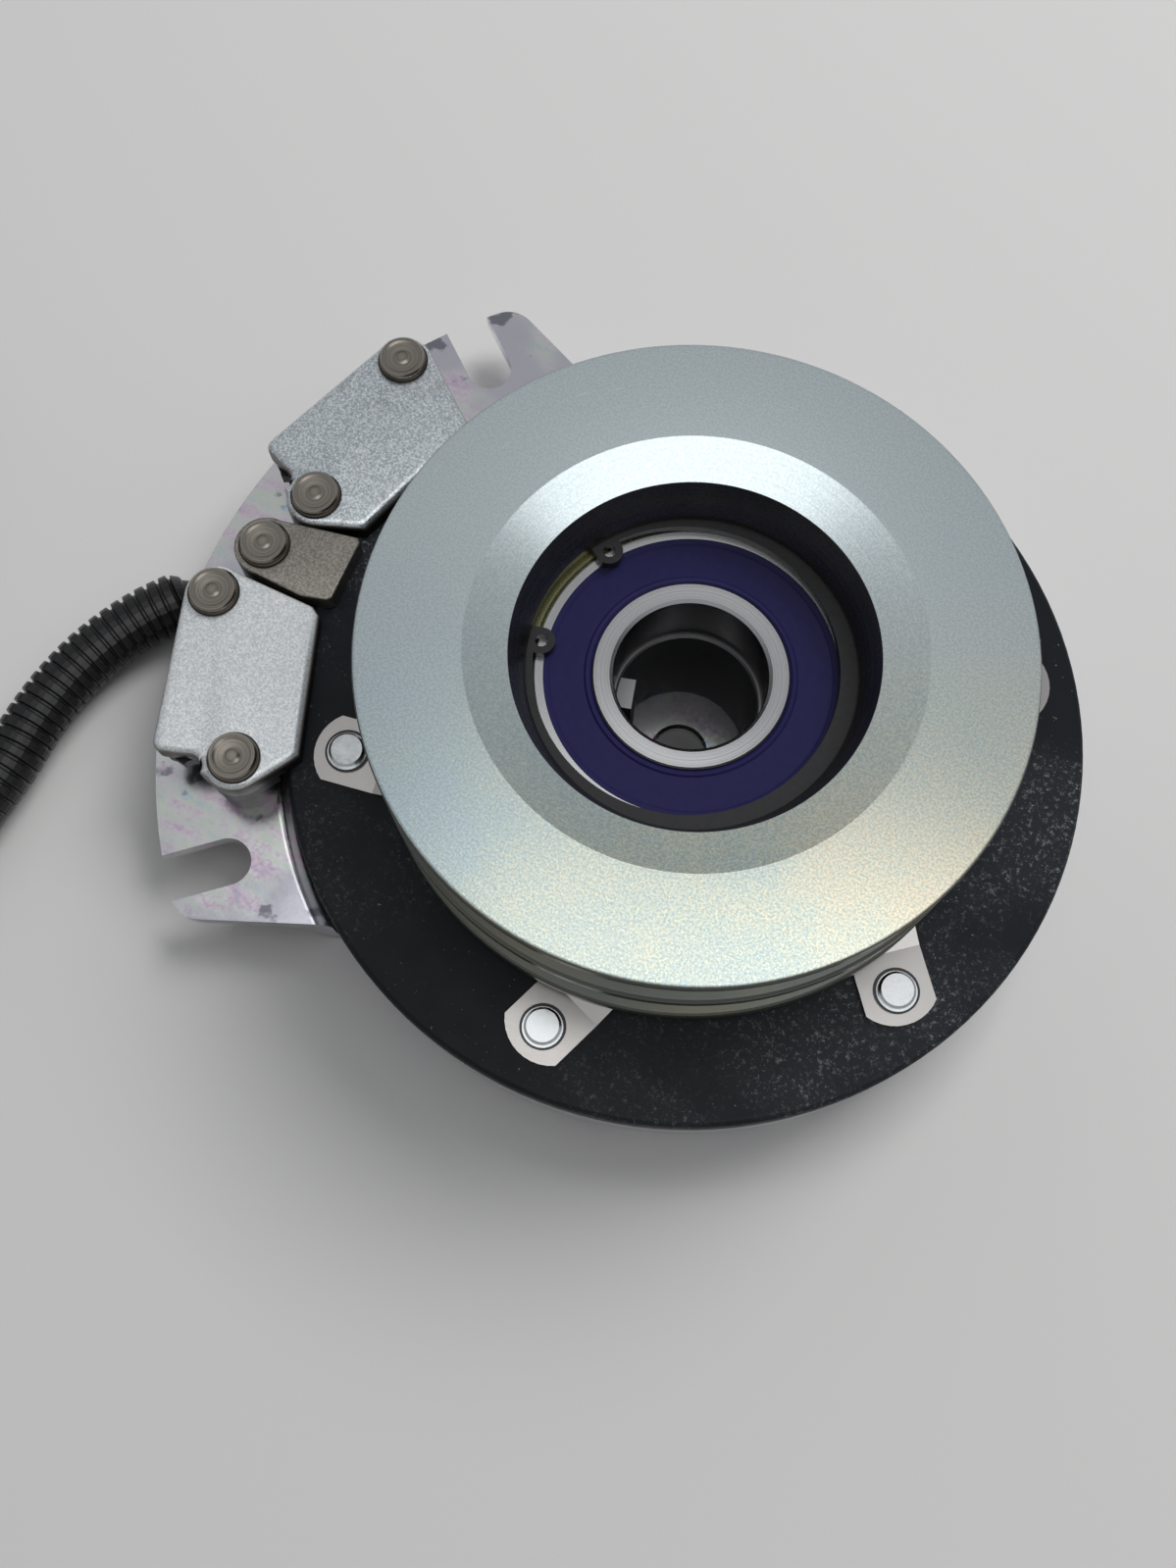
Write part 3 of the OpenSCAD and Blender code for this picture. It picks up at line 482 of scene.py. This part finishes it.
def turned_rivets():
    """Brake rivets: turned heads with fine rings, and painted shade round each head's foot."""
    look = Shader("turned_rivet", RIVET_STEEL, 1.0, 0.36)
    near = look.nearest(BRAKE_RIVETS)
    rings = look.line_noise(near, 2900.0, 3.0)
    head = look.mix(look.ramp(rings, 0.35, 0.68), RIVET_STEEL, paler(RIVET_STEEL, 1.55))
    # Round each head a ring is painted near-black: painted shade.
    look.use("Base Color", look.mix(look.ramp(near, BRAKE_HEAD_R, BRAKE_FOOT_SHADE_R), head, (0.025, 0.022, 0.02)))
    look.rough(rings, 0.2, 0.4)
    look.bump(rings, 0.00003, 0.6)
    return look.material


def collared_rivets():
    """Outer spring rivets: zinc heads, each inside a near-black ring of painted shade."""
    look = Shader("collared_rivet", (0.60, 0.62, 0.63), 1.0, 0.3)
    cloud = look.noise(600.0, 3.0)
    # The collar round each head is painted near-black and not metallic: painted shade.
    collar_shade = look.ramp(look.nearest(SPRING_RIVETS), SPRING_HEAD_R, SPRING_COLLAR_SHADE_R)
    head = look.mix(cloud, (0.44, 0.46, 0.47), (0.74, 0.76, 0.77))
    look.use("Base Color", look.mix(collar_shade, head, (0.012, 0.012, 0.014)))
    look.use("Metallic", look.math("SUBTRACT", 1.0, collar_shade))
    look.rough(cloud, 0.14, 0.34)
    look.bump(look.noise(900.0, 3.0), 0.00002, 0.3)
    return look.material


def conduit_plastic():
    look = Shader("conduit_plastic", (0.009, 0.009, 0.010), 0.0, 0.32, Specular_IOR_Level=0.4)
    look.use("Base Color", look.mix(look.noise(500.0, 3.0), (0.006, 0.006, 0.007), (0.013, 0.013, 0.014)))
    look.rough(look.noise(300.0, 3.0), 0.26, 0.40)
    return look.material


def plain(name, color, metallic=0.0, roughness=0.5, grain=0.0, **sockets):
    """One colour with a faint cloud, which also varies the roughness."""
    look = Shader(name, color, metallic, roughness, **sockets)
    cloud = look.noise(700.0, 4.0)
    look.use("Base Color", look.mix(cloud, color, paler(color, 1.0 + grain, 0.01 * grain)))
    look.rough(cloud, max(0.05, roughness - 0.08), roughness + 0.08)
    return look.material


black_part = plain("black_part", (0.008, 0.008, 0.009), 0.0, 0.45, 0.8, Specular_IOR_Level=0.3)
seal = plain("seal", (0.0125, 0.0110, 0.062), 0.0, 0.5, 0.4, Specular_IOR_Level=0.17)
bearing = ground_steel()
cage = plain("cage_nylon", (0.55, 0.44, 0.25), 0.0, 0.5, 0.3)
ferrite = plain("ferrite", (0.030, 0.030, 0.033), 0.0, 0.55, 0.9)

LOOKS = {
    "mounting_plate": rainbow_zinc("rainbow_zinc"),
    "field_shell": plain("shell_steel", (0.42, 0.43, 0.44), 1.0, 0.4, 0.35),
    "coil_bobbin": plain("bobbin_nylon", (0.20, 0.12, 0.06), 0.0, 0.5, 0.4),
    "coil_winding": plain("winding_copper", (0.60, 0.27, 0.13), 1.0, 0.35, 0.3),
    "coil_potting": plain("potting_resin", (0.06, 0.075, 0.045), 0.0, 0.25, 0.3),
    "rotor_disc": plain("rotor_steel", (0.50, 0.50, 0.50), 1.0, 0.34, 0.4),
    "rotor_hub": hub_steel(),
    "hub_washer": rainbow_zinc("washer_zinc"),
    "hub_snap_ring": black_part,
    "pulley": plated_pulley(),
    "retaining_ring": plain("ring_oxide", (0.014, 0.014, 0.015), 0.0, 0.42, 0.8, Specular_IOR_Level=0.3),
    "leaf_springs": spring_steel(),
    "pulley_rivets": zinc_plate(),
    "armature_plate": black_armature(),
    "armature_rivets": collared_rivets(),
    "brake_plate_upper": stained_zinc(),
    "brake_plate_lower": zinc_brake(),
    "keeper_plate": sintered_steel(),
    "brake_pole_upper": black_part,
    "brake_pole_lower": black_part,
    "keeper_pole": black_part,
    "brake_magnet_upper": ferrite,
    "brake_magnet_lower": ferrite,
    "rivet_spacers": black_part,
    "brake_rivets": turned_rivets(),
    "lead_grommet": plain("black_rubber", (0.012, 0.012, 0.012), 0.0, 0.7, 0.6),
    "lead_wires": plain("wire_jacket", (0.014, 0.014, 0.015), 0.0, 0.45, 0.6),
    "conduit_tie": plain("tie_nylon", (0.012, 0.012, 0.013), 0.0, 0.42, 0.6),
    "lead_connector": plain("plug_nylon", (0.018, 0.018, 0.02), 0.0, 0.4, 0.6),
    "connector_pins": plain("tin", (0.66, 0.62, 0.52), 1.0, 0.25, 0.3),
}
for place in ("field", "pulley"):
    LOOKS[f"{place}_bearing_cage"] = cage
    LOOKS[f"{place}_bearing_seals"] = seal
    for piece in ("outer", "inner", "balls"):
        LOOKS[f"{place}_bearing_{piece}"] = bearing

for name, material in LOOKS.items():
    slots = bpy.data.objects[name].data.materials
    slots.clear()
    slots.append(material)


def mesh_piece(name, verts, faces, material, smooth_faces=True):
    mesh = bpy.data.meshes.new(name)
    mesh.from_pydata(verts, [], faces)
    mesh.validate()
    if smooth_faces:
        mesh.polygons.foreach_set("use_smooth", [True] * len(mesh.polygons))
    mesh.materials.append(material)
    piece = bpy.data.objects.new(name, mesh)
    scene.collection.objects.link(piece)
    return piece


# Conduit, in millimetres and degrees: its route on the floor is the CAD's
CONDUIT_D = 13.0
CONDUIT_Z = 7.3
MOUTH = (-117.2, -14.8)
FLOOR_ROUTE = [MOUTH, (-122.2, -21.4), (-126.3, -28.8), (-129.4, -36.7), (-131.4, -45), (-132.5, -54),
               (-133, -66)]
BEND_R = 52.0
BEND_C = Vector((-185.0, -66.0))
BEND_TURN = 90
BEND_STEPS = 5
STRAIGHT = [(-207, -118), (-229, -118)]
COIL_C = Vector((-251.0, -40.0))
COIL_R = (78.0, 64.0)
COIL_START = -90
COIL_STEPS = 24
TAIL_TURN = 120
TAIL_STEPS = 6
TAIL_END = 4

# Ribs of the conduit, and the neck by which it narrows and dips under the ear: length, top and radius
RIB_PITCH = 2.75
RIB_DEPTH = 1.0
RIB_BEVEL = 0.12
NECK = 4.5
NECK_TOP = 9.7
NECK_R = 4.4
SKIN_SIDES = 28
CURVE_STEPS = 40
PATH_STEPS = 160


def arc(centre, radius, start, turn, steps):
    """Points on an arc, all but the first."""
    return [centre + Vector(polar(radius, start + turn * i / steps)) for i in range(1, steps + 1)]


def conduit_route():
    """The route of the conduit in millimetres, as the CAD model has it."""
    route = [Vector(p) for p in FLOOR_ROUTE]
    route += arc(BEND_C, BEND_R, 0, -BEND_TURN, BEND_STEPS)
    route += [Vector(p) for p in STRAIGHT]
    for i in range(COIL_STEPS + 1):
        share = i / COIL_STEPS
        radius = COIL_R[0] + (COIL_R[1] - COIL_R[0]) * share
        route.append(COIL_C + Vector(polar(radius, COIL_START - 360 * share)))
    tail_c = COIL_C + Vector(polar(COIL_R[1] - BEND_R, COIL_START))
    route += arc(tail_c, BEND_R, COIL_START, -TAIL_TURN, TAIL_STEPS)
    route.append(route[-1] + Vector(polar(TAIL_END, COIL_START - TAIL_TURN - 90)))
    return route


def smooth(route):
    """Close points on a curve through the route, and how far along each one lies."""
    dense = []
    for i in range(len(route) - 1):
        p0, p1, p2 = route[max(i - 1, 0)], route[i], route[i + 1]
        p3 = route[min(i + 2, len(route) - 1)]
        for k in range(CURVE_STEPS):
            t = k / CURVE_STEPS
            dense.append(0.5 * ((2 * p1) + (p2 - p0) * t + (2 * p0 - 5 * p1 + 4 * p2 - p3) * t * t
                                + (3 * p1 - p0 - 3 * p2 + p3) * t ** 3))
    dense.append(route[-1])
    run = [0.0]
    for a, b in zip(dense, dense[1:]):
        run.append(run[-1] + (b - a).length)
    return dense, run


def point_at(dense, run, along):
    """Point and heading of the curve at a distance along it."""
    low, high = 0, len(run) - 1
    while high - low > 1:
        mid = (low + high) // 2
        if run[mid] <= along:
            low = mid
        else:
            high = mid
    part = (along - run[low]) / max(run[high] - run[low], 1e-9)
    return dense[low].lerp(dense[high], part), (dense[high] - dense[low]).normalized()


def necked_in(dense, run, along, r):
    """Centre, heading, radius and height of one ring; before the mouth the tube narrows and dips."""
    point, heading = point_at(dense, run, max(along, 0.0))
    share = min(1.0, max(0.0, -along / NECK))
    low = NECK_TOP - NECK_R
    scale = 1.0 + (2 * NECK_R / CONDUIT_D - 1.0) * share
    return point + heading * min(along, 0.0), heading, r * scale, CONDUIT_Z + (low - CONDUIT_Z) * share


def rib_rings(length):
    """Distance and radius of each ring of points; a rib has a bevel and a root on each side of its crest."""
    crest = CONDUIT_D / 2
    root = crest - RIB_DEPTH
    bevel = crest - RIB_BEVEL
    profile = [(0.04, root), (0.12, bevel), (0.18, crest), (0.72, crest), (0.78, bevel), (0.86, root)]
    ribs = round(length / RIB_PITCH)
    pitch = length / ribs
    necked = math.floor(NECK / pitch)
    rings = [(-NECK, root)]
    for i in range(-necked, ribs):
        rings += [((i + share) * pitch, r) for share, r in profile]
    rings.append((length, root))
    return rings


def conduit_skin(dense, run):
    """Points and faces of the closed, ribbed tube."""
    verts, faces = [], []
    rings = rib_rings(run[-1])
    for along, r in rings:
        point, heading, r, z = necked_in(dense, run, along, r)
        out = Vector((-heading.y, heading.x))
        for k in range(SKIN_SIDES):
            a = 2 * math.pi * k / SKIN_SIDES
            verts.append((MM * (point.x + out.x * math.cos(a) * r), MM * (point.y + out.y * math.cos(a) * r),
                          MM * (z + math.sin(a) * r)))
    for i in range(len(rings) - 1):
        for k in range(SKIN_SIDES):
            j = (k + 1) % SKIN_SIDES
            low, high = i * SKIN_SIDES, (i + 1) * SKIN_SIDES
            faces.append((low + k, low + j, high + j, high + k))
    faces.append(tuple(range(SKIN_SIDES - 1, -1, -1)))
    faces.append(tuple((len(rings) - 1) * SKIN_SIDES + k for k in range(SKIN_SIDES)))
    return verts, faces


def corrugated_conduit():
    dense, run = smooth(conduit_route())
    length = run[-1]
    skin = conduit_skin(dense, run)
    piece = mesh_piece("corrugated_conduit", *skin, conduit_plastic(), smooth_faces=False)
    for i in range(PATH_STEPS + 1):
        point, _, _, z = necked_in(dense, run, -NECK + (length + NECK) * i / PATH_STEPS, 0.0)
    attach(piece, "field")
    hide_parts("conduit")


corrugated_conduit()

# Wider cone: points merge within a distance in metres, and edges over an angle in degrees are sharp
MERGE_WITHIN = 1e-6
CONE_MARGIN = 0.1 * MM
CONE_ANGLE = 17


def wide_cone():
    """The pulley with its bright cone run out to the photographed radius, all else as the CAD has it."""
    shape = bmesh.new()
    shape.from_mesh(bpy.data.objects["pulley"].data)
    bmesh.ops.remove_doubles(shape, verts=shape.verts, dist=MERGE_WITHIN)
    widen = (CONE_EDGE_R - CONE_FOOT_R) / (CONE_CAD_R - CONE_FOOT_R)
    verts = []
    for vert in shape.verts:
        r = math.hypot(vert.co.x, vert.co.y)
        scale = 1.0
        if vert.co.z > PULLEY_TOP - CONE_HEIGHT and CONE_FOOT_R < r < CONE_CAD_R + CONE_MARGIN:
            scale = (CONE_FOOT_R + (r - CONE_FOOT_R) * widen) / r
        verts.append((vert.co.x * scale, vert.co.y * scale, vert.co.z))
    shape.verts.index_update()
    faces = [tuple(vert.index for vert in face.verts) for face in shape.faces]
    shape.free()
    piece = mesh_piece("pulley_turned", verts, faces, LOOKS["pulley"])
    piece.data.set_sharp_from_angle(angle=math.radians(CONE_ANGLE))
    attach(piece, "pulley")
    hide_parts("pulley")


wide_cone()

# Softened edges of the brake plates and the keeper plate, in millimetres
BRAKE_EDGE = 1.7
KEEPER_EDGE = 0.5
EDGE_STEPS = 5
EDGE_SPACING = 0.12
EDGE_ANGLE = 40
MITRE_LIMIT = 0.5

# Which faces of a plate count as its top: how far they face up, and within what distance of its highest Z
UPWARD = 0.9
SIDEWAYS = 0.5
TOP_BAND = 0.05

# A brake plate in its own frame, X outwards: where its inner lobe ends, its pad's side, the fillet between
LOBE_EDGE = 98.9
PAD_SIDE = 16.9
FILLET = 2.2

# Its outer side is moved out as in the photograph, fully from one X on, by an amount that rises along Y
OUTER_FROM = 99.0
OUTER_TO = 105.0
OUTER_GROWTH = 0.7
OUTER_SLOPE = 0.04


def outline(node):
    """The outer outline of an upright plate, counter-clockwise, and its lowest and highest Z."""
    low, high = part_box(node)
    shape = bmesh.new()
    shape.from_mesh(bpy.data.objects[node].data)
    bmesh.ops.remove_doubles(shape, verts=shape.verts, dist=MERGE_WITHIN)
    after = {}
    for face in shape.faces:
        if face.normal.z < UPWARD or face.calc_center_median().z < high[2] - TOP_BAND * MM:
            continue
        for loop in face.loops:
            if any(abs(other.normal.z) < SIDEWAYS for other in loop.edge.link_faces):
                after[loop.vert.index] = loop.link_loop_next.vert.index
    shape.verts.ensure_lookup_table()
    rings = []
    while after:
        here = next(iter(after))
        ring = []
        while here in after:
            ring.append(Vector(shape.verts[here].co[:2]))
            here = after.pop(here)
        rings.append(ring)
    shape.free()
    ring = max(rings, key=lambda pts: max(p.x for p in pts) - min(p.x for p in pts))
    return ring, low[2], high[2]


def offset_in(ring, by):
    """The outline moved inwards by a distance, with mitred corners."""
    moved = []
    for i, here in enumerate(ring):
        a = (here - ring[i - 1]).normalized()
        b = (ring[(i + 1) % len(ring)] - here).normalized()
        left_a, left_b = Vector((-a.y, a.x)), Vector((-b.y, b.x))
        middle = (left_a + left_b).normalized()
        moved.append(here + middle * (by / max(MITRE_LIMIT, middle.dot(left_a))))
    return moved


def spaced(ring):
    """The outline without points that lie too close to the one before."""
    kept = [ring[0]]
    for point in ring[1:]:
        if (point - kept[-1]).length > EDGE_SPACING * MM:
            kept.append(point)
    return kept


def softened(node, width, fair=None):
    """A plate of the same outline with a rounded upper edge, without the holes that its rivets fill."""
    ring, low, high = outline(node)
    if fair:
        ring = [fair(p) for p in ring]
    ring = spaced(ring)
    rows = [(0.0, low)]
    for i in range(EDGE_STEPS + 1):
        turn = math.pi / 2 * i / EDGE_STEPS
        rows.append((width * MM * (1 - math.cos(turn)), high - width * MM * (1 - math.sin(turn))))
    verts, faces, count = [], [], len(ring)
    for by, z in rows:
        verts += [(*p, z) for p in offset_in(ring, by)]
    for k in range(len(rows) - 1):
        for i in range(count):
            j = (i + 1) % count
            faces.append((k * count + i, k * count + j, (k + 1) * count + j, (k + 1) * count + i))
    faces.append(tuple(range(count - 1, -1, -1)))
    faces.append(tuple((len(rows) - 1) * count + i for i in range(count)))
    piece = mesh_piece(node + "_soft", verts, faces, LOOKS[node])
    for end in (len(faces) - 2, len(faces) - 1):
        piece.data.polygons[end].use_smooth = False
    piece.data.set_sharp_from_angle(angle=math.radians(EDGE_ANGLE))
    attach(piece, "field")
    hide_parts(node)


def faired(degrees):
    """Moves a brake plate's outer side out, and keeps its pad's side straight up to the lobe's fillet."""
    turn = math.radians(degrees)

    def fair(point):
        local = Matrix.Rotation(-turn, 2) @ point / MM
        grown = min(1.0, max(0.0, (local.x - OUTER_FROM) / (OUTER_TO - OUTER_FROM)))
        local.x += grown * max(0.0, OUTER_GROWTH + OUTER_SLOPE * local.y)
        reach = local.x - LOBE_EDGE
        if reach > 0 and local.y > PAD_SIDE:
            local.y = PAD_SIDE
            if reach < FILLET:
                local.y += FILLET - math.sqrt(FILLET ** 2 - (FILLET - reach) ** 2)
        return Matrix.Rotation(turn, 2) @ local * MM

    return fair


softened("brake_plate_upper", BRAKE_EDGE, faired(BRAKE_TURNS[0]))
softened("brake_plate_lower", BRAKE_EDGE, faired(BRAKE_TURNS[1]))
softened("keeper_plate", KEEPER_EDGE)

# Floor, lights and world, in metres and watts
FLOOR_HALF = 4.0
FLOOR_COLOR = (0.80, 0.79, 0.78)
PANEL_AT = (0.42, -0.20, 1.50)
PANEL_UNDER = (0.42, -0.20, 0)
PANEL_SIZE = (1.66, 1.10)
PANEL_POWER = 7.2
SOFTBOX_AT = (0.32, 0.95, 1.25)
SOFTBOX_SIZE = (0.9, 0.7)
SOFTBOX_POWER = 13.0

# Strength of the surround that is seen and reflected, and of the light that falls: low, high and its lean
SKY_COLOR = (0.86, 0.88, 0.90)
SURROUND = 0.48
SKY_LOW = 0.04
SKY_HIGH = 0.56
SKY_LEAN = 0.9


def make_floor():
    corners = [(-FLOOR_HALF, -FLOOR_HALF, 0), (FLOOR_HALF, -FLOOR_HALF, 0), (FLOOR_HALF, FLOOR_HALF, 0),
               (-FLOOR_HALF, FLOOR_HALF, 0)]
    paper = Shader("floor_paper", FLOOR_COLOR, 0.0, 0.7)
    mesh_piece("studio_floor", corners, [(0, 1, 2, 3)], paper.material, smooth_faces=False)


def area_light(name, at_point, aim, size, power):
    data = bpy.data.lights.new(name, "AREA")
    data.shape = "RECTANGLE"
    data.size, data.size_y = size
    data.energy = power
    lamp = bpy.data.objects.new(name, data)
    lamp.location = at_point
    lamp.rotation_euler = (Vector(aim) - Vector(at_point)).to_track_quat("-Z", "Y").to_euler()
    scene.collection.objects.link(lamp)
    return lamp


def make_lights():
    """A panel overhead that the metal mirrors, and a far softbox that lights what is matt."""
    panel = area_light("ceiling_panel", PANEL_AT, PANEL_UNDER, PANEL_SIZE, PANEL_POWER)
    panel.visible_diffuse = False
    softbox = area_light("far_softbox", SOFTBOX_AT, (0, 0, 0), SOFTBOX_SIZE, SOFTBOX_POWER)
    softbox.visible_glossy = False


def make_world():
    """A plain grey surround; the light that falls on matt surfaces leans to the far side."""
    world = bpy.data.worlds.new("studio_world")
    world.use_nodes = True
    tree = world.node_tree
    background = tree.nodes["Background"]
    background.inputs["Color"].default_value = opaque(SKY_COLOR)
    split = tree.nodes.new("ShaderNodeSeparateXYZ")
    feed(tree, split.inputs[0], tree.nodes.new("ShaderNodeTexCoord").outputs["Generated"])
    rise = tree.nodes.new("ShaderNodeMapRange")
    rise.interpolation_type = "SMOOTHSTEP"
    height = add_math(tree, "MULTIPLY_ADD", split.outputs["Y"], SKY_LEAN, split.outputs["Z"])
    for key, value in (("Value", height), ("From Min", 0.0), ("From Max", 1.0), ("To Min", SKY_LOW),
                       ("To Max", SKY_HIGH)):
        feed(tree, rise.inputs[key], value)
    falls = rise.outputs[0]
    ray = tree.nodes.new("ShaderNodeLightPath").outputs
    seen = add_math(tree, "MAXIMUM", ray["Is Camera Ray"], ray["Is Glossy Ray"])
    seen = add_math(tree, "MAXIMUM", seen, ray["Is Transmission Ray"])
    drop = add_math(tree, "SUBTRACT", SURROUND, falls)
    feed(tree, background.inputs["Strength"], add_math(tree, "MULTIPLY_ADD", drop, seen, falls))
    scene.world = world


make_floor()
make_world()
make_lights()
scene.view_settings.view_transform = "Standard"
